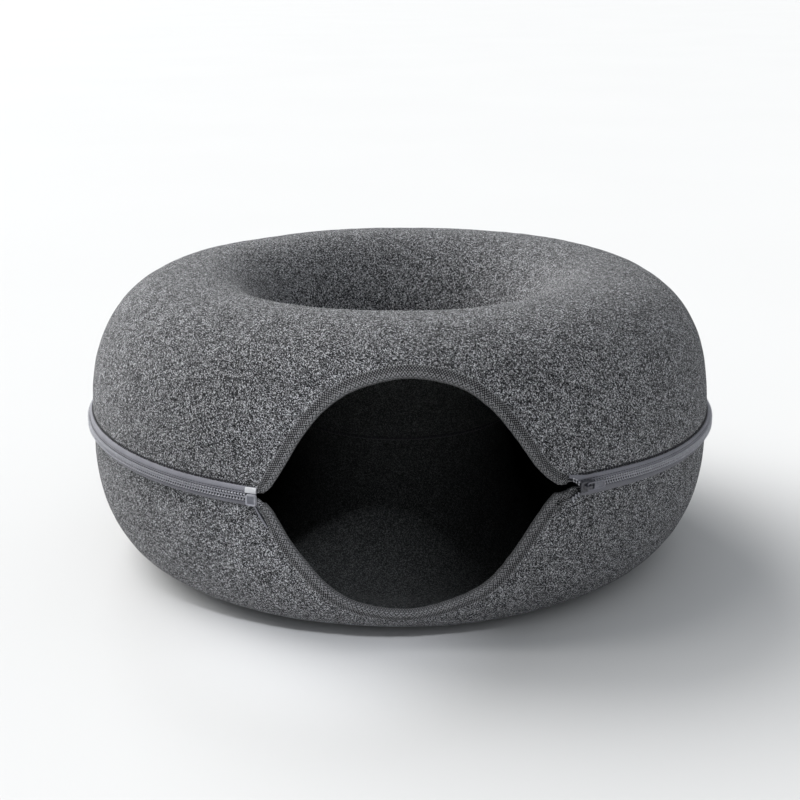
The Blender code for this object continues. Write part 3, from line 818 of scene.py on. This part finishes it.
def makeTape(half):
    name, side = half["name"], half["side"]
    start = radians(tapeEnds[name][0][0])
    length = (tapes["end"] - start) * ring["radius"]

    def place(u, v):
        share = u if side > 0 else 1 - u
        azimuth = mixed(start, tapes["end"], share)
        inner, outer = tapeEdges(half, azimuth)
        up = mixed(inner, outer, v)
        out = tapeRise(up, outer) + tapes["tapeThickness"] - grooveAt(up, inner)
        size, height = tapes["ripple"]
        out += height * noise.noise(Vector((share * length / size, v * 2, side)))
        size, height = tapes["edgeRipple"]
        edge = height * noise.noise(Vector((share * length / size, 5, side))) * v
        return beltPoint(azimuth, out, side * (up + edge))

    def stitchRow(margins, lines):
        # a stitch's place at each step; lines gives its distance up and out there
        before, after, rise = margins
        places = []
        for distance in np.arange(before, length - after, tapes["stitchPitch"]):
            azimuth = start + distance / ring["radius"]
            up, out = lines(*tapeEdges(half, azimuth))
            places.append(beltPlace(azimuth, out, side * up, side * rise))
        return places

    def inGroove(inner, outer):
        up = max(tapes["groove"][0], inner + tapes["grooveInset"])
        return up, tapeRise(up, outer) + tapes["tapeThickness"] - grooveAt(up, inner)

    def paintedShadowRow(_, outer):
        # a row of dark stitches beside the tape's outer edge, painted shadow along that edge
        return outer + (tapes["shadowOffset"] if half is upperHalf else 0), tapes["seat"]

    tape = addSheet(f"zip_tape_{name}_cloth", tapes, place, (length, tapes["mapWidth"][name]))
    thicken(tape, tapes["tapeThickness"] * tapes["clothShare"])
    # the lower tape's darker cloth is painted shade
    cloth = tapeCloth if half is upperHalf else shadedLowerTapeCloth
    finishPiece(tape, cloth, f"zip_tape_{name}", angle=60)
    places = stitchRow(tapes["stitchRow"], inGroove)
    sewing = sew(f"zip_sewing_{name}", tapes["stitch"], places, darkThreadAndShadow)
    # dark stitches along the tape's outer edge: painted shadow
    places = stitchRow(tapes["shadowRow"], paintedShadowRow)
    shadowStitches = sew(f"zip_painted_shadow_{name}", tapes["shadowStitch"], places, darkThreadAndShadow)
    print("zip tape", name, "made,", len(places), "stitches")


tail = {
    "route": [(-0.1180, -0.0062), (-0.1155, -0.0112), (-0.1122, -0.0172), (-0.1084, -0.0233)],
    "columns": 40, "rows": 8, "width": 0.0028, "thickness": 0.0009, "crown": 0.0003,
    "lift": 0.0016,  # at its upper end, until it lies down on the felt
    "settle": 1.4, "rest": 0.0002, "flat": (0.010, 0.020), "map": (0.020, 0.0080),
    "area": 0.00006,
}


def makeTapeTail():
    # the lower tape's end beyond the retainer, turned down beside the binding
    count = tail["columns"]
    route = [wallAt(lowerHalf, *place) for place in curveThrough(tail["route"], count + 1)]

    def place(u, v):
        u, v = 1 - u, 1 - v
        index = round(u * count)
        along = (route[min(index + 1, count)] - route[max(index - 1, 0)]).normalized()
        normal = wallNormal(lowerHalf, route[index])
        side = along.cross(normal).normalized()
        out = mixed(tail["lift"], tail["thickness"] + tail["rest"], smooth(u * tail["settle"]))
        out += tail["crown"] * (1 - (2 * v - 1) ** 2)
        return route[index] + side * (0.5 - v) * tail["width"] + normal * out

    strip = addSheet("zip_tape_tail", tail, place)
    thicken(strip, tail["thickness"])
    finishPiece(strip, tapeCloth, angle=60)


# Zip teeth
teeth = {
    "pitch": 0.0029,
    "length": 0.0016,  # along the chain
    "fullness": ([0, 0.38, 0.71, 0.92, 1], [0.34, 0.48, 1, 0.84, 0]),  # from the neck to an end
    "tip": 0.62,  # the inner head's share of the outer one
    "reach": 0.0007,  # past the zip's line
    "root": 0.0029, "base": 0.0029, "crown": 0.0061,
    "headStart": 0.1,  # from the middle to the outer end, where the larger head begins
    "middle": 0.35,  # of the height, where a tooth is widest
    "looseCount": 3, "loosePitch": 0.9, "step": 0.003,
}


def toothShape():
    # two heads with a lower neck between them; local X along the chain, Y away from the
    # zip's line, Z outwards
    tooth = addBall(segments=8, rings=8, radius=1, turn=(pi / 2, 0, 0))
    height = teeth["crown"] - teeth["base"]
    centre = (teeth["root"] - teeth["reach"]) / 2
    middle = teeth["middle"]
    for vert in tooth.data.vertices:
        end = min(abs(vert.co.y), 1)
        ringSize = sqrt(max(1 - end * end, 1e-9))
        full = float(np.interp(end, *teeth["fullness"]))
        full *= 1 if vert.co.y > teeth["headStart"] else teeth["tip"]
        vert.co.x *= full * teeth["length"] / 2 / ringSize
        vert.co.y = centre + vert.co.y * (teeth["root"] + teeth["reach"]) / 2
        up = vert.co.z / ringSize
        vert.co.z = height * (middle + ((1 - middle) * full if up > 0 else middle) * up)
    return tooth


def toothPlace(azimuth, side, shift=0):
    place = beltPlace(azimuth, teeth["base"], side * shift, step=teeth["step"])
    return place if side > 0 else place @ Matrix.Rotation(pi, 4, "Z")


def makeTeeth():
    step = teeth["pitch"] / (ring["radius"] + teeth["base"])
    places = []
    for azimuth in np.arange(tapes["start"], tapes["chainEnd"], step):
        places += [toothPlace(azimuth, 1), toothPlace(azimuth + step / 2, -1)]
    for index in range(1, teeth["looseCount"] + 1):
        azimuth = tapes["start"] - index * step * teeth["loosePitch"]
        if degrees(azimuth) > tapeEnds["lower"][0][0]:
            for half in (upperHalf, lowerHalf):
                places.append(toothPlace(azimuth, half["side"], tapeEdges(half, azimuth)[0]))
    chain = stampAll("zip_teeth", toothShape(), places)
    finishPiece(chain, toothPlastic, "zip_chain", angle=75)
    print("zip teeth made,", len(places), "teeth")


# Slider, pull, retainer and film
def addBlock(name, low, high):
    deselect()
    bpy.ops.mesh.primitive_cube_add(size=1, location=[(a + b) / 2 for a, b in zip(low, high)])
    piece = bpy.context.object
    piece.name = name
    piece.scale = [b - a for a, b in zip(low, high)]
    bpy.ops.object.transform_apply(location=True, rotation=False, scale=True)
    return piece


mostly = 0.9  # the part of its length that an edge or a normal has along -Y to face outwards


def pickParts(piece, kind, wanted):
    # opens the piece for editing with the wanted edges or faces selected
    select(piece)
    bpy.ops.object.mode_set(mode="EDIT")
    bpy.ops.mesh.select_mode(type=kind)
    bpy.ops.mesh.select_all(action="DESELECT")
    bm = bmesh.from_edit_mesh(piece.data)
    for part in bm.edges if kind == "EDGE" else bm.faces:
        part.select = wanted(part)
    bm.select_flush_mode()
    bmesh.update_edit_mesh(piece.data)


def pointsOutwards(edge):
    run = edge.verts[0].co - edge.verts[1].co
    return abs(run.y) > mostly * run.length and run.length > 0


def roundCorners(piece, radius, segments=4):
    pickParts(piece, "EDGE", pointsOutwards)
    bpy.ops.mesh.bevel(offset=radius, segments=segments, affect="EDGES")
    bpy.ops.object.mode_set(mode="OBJECT")


def finishHard(piece, softness, azimuth, material, node, up=0):
    # softens its edges and takes it from the local frame (X along, -Y outwards, Z up) to the zip
    addBevel(piece, softness, segments=2, angle=30)
    applyModifiers(piece)
    piece.data.transform(Matrix.Translation(beltPoint(azimuth, 0, up) + ringCentre)
                         @ Matrix.Rotation(azimuth, 4, "Z"))
    finishPiece(piece, material, node, angle=40)


def combine(piece, operation, other):
    addModifier(piece, "BOOLEAN", object=other, operation=operation, solver="EXACT")
    applyModifiers(piece)
    bpy.data.objects.remove(other)


slider = {
    "azimuth": radians(30.0), "length": 0.0144, "width": 0.0095, "corner": 0.0026,
    "narrowEnd": 0.86,  # the plate narrows towards the closed chain
    "plate": 0.0016, "base": 0.0065, "flangeFoot": 0.0041, "flange": 0.0012,
    "flangeLength": 0.0096, "flangeInset": 0.93,
    "bridge": (0.0070, 0.0030, 0.0033),  # length, width, height
    "bridgeTop": (0.82, 0.86),  # its length and width there
    "bridgeWall": 0.0011, "bridgeOffset": -0.0012,
    "overlap": (0.0008, 0.0004),  # of the flanges and of the bridge with the plate
    "softness": 0.00028, "gap": 0.0003,
}


def makeSlider():
    base = -slider["base"]
    top = base - slider["plate"]
    half = slider["length"] / 2
    wide = slider["width"] / 2
    body = addBlock("slider_body", (-half, top, -wide), (half, base, wide))
    roundCorners(body, slider["corner"])
    for vert in body.data.vertices:
        vert.co.z *= mixed(1.0, slider["narrowEnd"], smooth((vert.co.x + half) / slider["length"]))
    run = slider["flangeLength"] / 2
    outer = wide * slider["flangeInset"]
    inner = outer - slider["flange"]
    flangeSink, bridgeSink = slider["overlap"]
    for low, high in ((-outer, -inner), (inner, outer)):
        flange = addBlock("flange", (-run, base - flangeSink, low), (run, -slider["flangeFoot"], high))
        combine(body, "UNION", flange)
    length, width, height = slider["bridge"]
    middle = slider["bridgeOffset"]
    start, end = middle - length / 2, middle + length / 2
    bridge = addBlock("bridge", (start, top - height, -width / 2), (end, top + bridgeSink, width / 2))
    for vert in bridge.data.vertices:
        if vert.co.y < top - height / 2:
            vert.co.x = middle + (vert.co.x - middle) * slider["bridgeTop"][0]
            vert.co.z *= slider["bridgeTop"][1]
    combine(body, "UNION", bridge)
    wall = slider["bridgeWall"]
    tunnel = addBlock("tunnel", (start + wall, top - height + wall, -width), (end - wall, top, width))
    combine(body, "DIFFERENCE", tunnel)
    finishHard(body, slider["softness"], slider["azimuth"], enamel, "zip_slider")


pull = {
    "length": 0.0185, "width": 0.0076, "thickness": 0.0012, "corner": 0.0024,
    "waist": (0.55, 0.16, 0.10),  # its place and spread in the length, and depth
    "bar": 0.0014, "window": 0.0056, "windowCorner": 0.0008,
    "rim": 0.0009,  # round a sunk panel
    "relief": 0.00035, "panelCorner": 0.0013, "softness": 0.00022,
    "clear": 0.01,  # how far the window's and the panel's cutters stand out
}


def makePull():
    back = -(slider["base"] + slider["plate"] + slider["gap"])
    face = back - pull["thickness"]
    left = slider["bridgeOffset"] - pull["bar"] / 2
    right = left + pull["length"]
    wide = pull["width"] / 2
    tab = addBlock("slider_pull", (left, face, -wide), (right, back, wide))
    roundCorners(tab, pull["corner"], segments=5)
    place, spread, depth = pull["waist"]
    for vert in tab.data.vertices:
        share = (vert.co.x - left) / pull["length"]
        vert.co.z *= 1 - depth * exp(-(((share - place) / spread) ** 2))
    start = left + pull["bar"]
    end = start + pull["window"]
    inside = wide - pull["bar"]
    window = addBlock("window", (start, back - pull["clear"], -inside), (end, back + pull["clear"], inside))
    roundCorners(window, pull["windowCorner"], segments=2)
    combine(tab, "DIFFERENCE", window)
    margin = 2 * pull["rim"]
    panel = addBlock("panel", (end + pull["bar"], face - pull["clear"], margin - wide),
                     (right - margin, face + pull["relief"], wide - margin))
    roundCorners(panel, pull["panelCorner"])
    combine(tab, "DIFFERENCE", panel)
    finishHard(tab, pull["softness"], slider["azimuth"], pullEnamel, "zip_pull")
    print("slider and pull made")


retainer = {
    "azimuth": radians(-23.4),
    "level": -0.0012,  # its middle from the zip's line
    "length": 0.0090, "width": 0.0092, "base": 0.0039, "height": 0.0036,
    "corner": 0.0016, "rim": 0.0013, "recess": 0.0010, "softness": 0.0003,
}


def makeRetainer():
    half = retainer["length"] / 2
    wide = retainer["width"] / 2
    top = -retainer["base"] - retainer["height"]
    box = addBlock("retainer_box", (-half, top, -wide), (half, -retainer["base"], wide))
    roundCorners(box, retainer["corner"])
    pickParts(box, "FACE", lambda face: face.normal.y < -mostly)
    bpy.ops.mesh.inset(thickness=retainer["rim"])
    bpy.ops.transform.translate(value=(0, retainer["recess"], 0))
    box.data.materials.append(boxPlastic)
    box.data.materials.append(boxRecess)
    box.active_material_index = 1
    bpy.ops.object.material_slot_assign()
    bpy.ops.object.mode_set(mode="OBJECT")
    finishHard(box, retainer["softness"], retainer["azimuth"], None, "zip_box",
               retainer["level"])


film = {
    "start": radians(360 - 24.65), "inner": 0.0039, "outerInset": 0.0002,
    "map": (0.0098, 0.0055), "columns": 48, "rows": 26, "lift": 0.0005,
    "thickness": 0.0004,
    "pitch": 0.0016,  # of the tape's weave that is pressed into it
    "relief": 0.00016,
}


def makeFilm():
    cells = [size * 2 * pi / film["pitch"] for size in film["map"]]

    def place(u, v):
        azimuth = mixed(film["start"], tapes["end"], u)
        outer = tapeEdges(upperHalf, azimuth)[1]
        up = mixed(film["inner"], outer - film["outerInset"], v)
        out = tapeRise(up, outer) + tapes["tapeThickness"] + film["lift"]
        out += film["relief"] * sin(u * cells[0]) * sin(v * cells[1])
        return beltPoint(azimuth, out, up)

    patch = addSheet("tape_end_patch", film, place)
    thicken(patch, film["thickness"])
    finishPiece(patch, filmPlastic, "tape_end_film", angle=60)
    print("retainer and film made")


# Seam round the hole
def ringOfStitches(name, radius, level, facing, stitch, material):
    count = round(2 * pi * radius / seam["stitchPitch"])
    places = []
    for index in range(count):
        outwards = aroundAxis(2 * pi * index / count)
        point = outwards * radius + Vector((0, 0, level))
        places.append(placeAt(point, Vector((0, 0, 1)).cross(outwards), outwards * facing))
    sew(name, stitch, places, material)
    print(name, "made,", count, "stitches")


for makePair in (makeFeltHalf, makeBinding, makeTape):
    makePair(upperHalf)
    makePair(lowerHalf)
makeTapeTail()
makeTeeth()
makeSlider()
makePull()
makeRetainer()
makeFilm()
ringOfStitches("seam_sewing", ring["hole"], seam["stitchLevel"], -1, seam["stitch"], thread)
# dark stitches under the skirt's edge: painted shadow of that edge
ringOfStitches("skirt_painted_shadow", ring["hole"] + ring["felt"], seam["shadowLevel"], 1, seam["shadowStitch"],
               darkThreadAndShadow)


# Floor, light and camera
studio = {
    "floorSize": 120, "sunDistance": 3, "floorColour": (0.70, 0.70, 0.70),
    "floorPatches": (0.8, 0.985),  # their size and darker tone
    "worldColour": (0.92, 0.96, 1), "worldStrength": 0.50,
}
suns = [  # from where each shines, the width of its disc in degrees, strength, colour
    ("key", (-0.60, 0.60, 0.50), 60, 3.6, (1, 0.995, 0.98)),
    ("side", (-0.62, 0.15, 0.75), 50, 1.3, (1, 0.99, 0.975)),
    ("front", (0.17, -0.65, 0.74), 30, 0.10, (0.97, 0.98, 1)),
]
# A narrow soft lamp through the entrance on to the floor inside
spot = {"aim": (-0.070, -0.222, -0.130), "from": (0.173, -0.646, 0.743), "away": 1.6,
        "cone": 5.2, "power": 250, "radius": 0.12, "colour": (0.93, 0.95, 1)}


def makeFloor():
    deselect()
    bpy.ops.mesh.primitive_plane_add(size=studio["floorSize"])
    floor = bpy.context.object
    floor.name = "floor"
    material, tree = newMaterial("pale_floor", roughness=0.9, specular=0.1)
    coords = addNode(tree, "TexCoord").outputs["Object"]
    size, share = studio["floorPatches"]
    tone = ranged(tree, cloud(tree, coords, size), 0.2, 0.8)
    darker = tuple(channel * share for channel in studio["floorColour"])
    tree.links.new(mixedColour(tree, tone, darker, studio["floorColour"]),
                   shaderInputs(tree)["Base Color"])
    floor.data.materials.append(material)


def addLamp(kind, name, place, facing, power, colour):
    bpy.ops.object.light_add(type=kind, location=place)
    light = bpy.context.object
    light.name = name
    light.rotation_euler = facing.to_track_quat("Z", "Y").to_euler()
    light.data.energy = power
    light.data.color = colour
    return light.data


def makeLights():
    world = bpy.data.worlds.new("studio")
    world.use_nodes = True
    background = world.node_tree.nodes["Background"]
    background.inputs["Color"].default_value = (*studio["worldColour"], 1)
    background.inputs["Strength"].default_value = studio["worldStrength"]
    bpy.context.scene.world = world
    for name, start, spread, power, colour in suns:
        facing = Vector(start)
        light = addLamp("SUN", name, facing * studio["sunDistance"], facing, power, colour)
        light.angle = radians(spread)
    facing = Vector(spot["from"]).normalized()
    place = ringCentre + Vector(spot["aim"]) + facing * spot["away"]
    light = addLamp("SPOT", "inner", place, facing, spot["power"], spot["colour"])
    setAll(light, {"spot_size": radians(spot["cone"]), "spot_blend": 1, "shadow_soft_size": spot["radius"]})


view = {
    "distance": 1.348,  # in front of the ring's axis
    "rise": 0.417,  # above the zip's level
    "tilt": radians(17.28), "roll": radians(-0.38), "lens": 63.43,
}


def makeCamera():
    camera = bpy.data.objects.new("camera", bpy.data.cameras.new("camera"))
    bpy.context.scene.collection.objects.link(camera)
    setAll(camera.data, {"sensor_width": 36, "lens": view["lens"], "clip_end": 300})
    camera.location = ringCentre + Vector((0, -view["distance"], view["rise"]))
    turn = Matrix.Rotation(pi / 2 - view["tilt"], 3, "X") @ Matrix.Rotation(view["roll"], 3, "Z")
    camera.rotation_euler = turn.to_euler()
    bpy.context.scene.camera = camera
    bpy.context.scene.view_settings.view_transform = "Standard"


makeFloor()
makeLights()
makeCamera()
print("studio made")
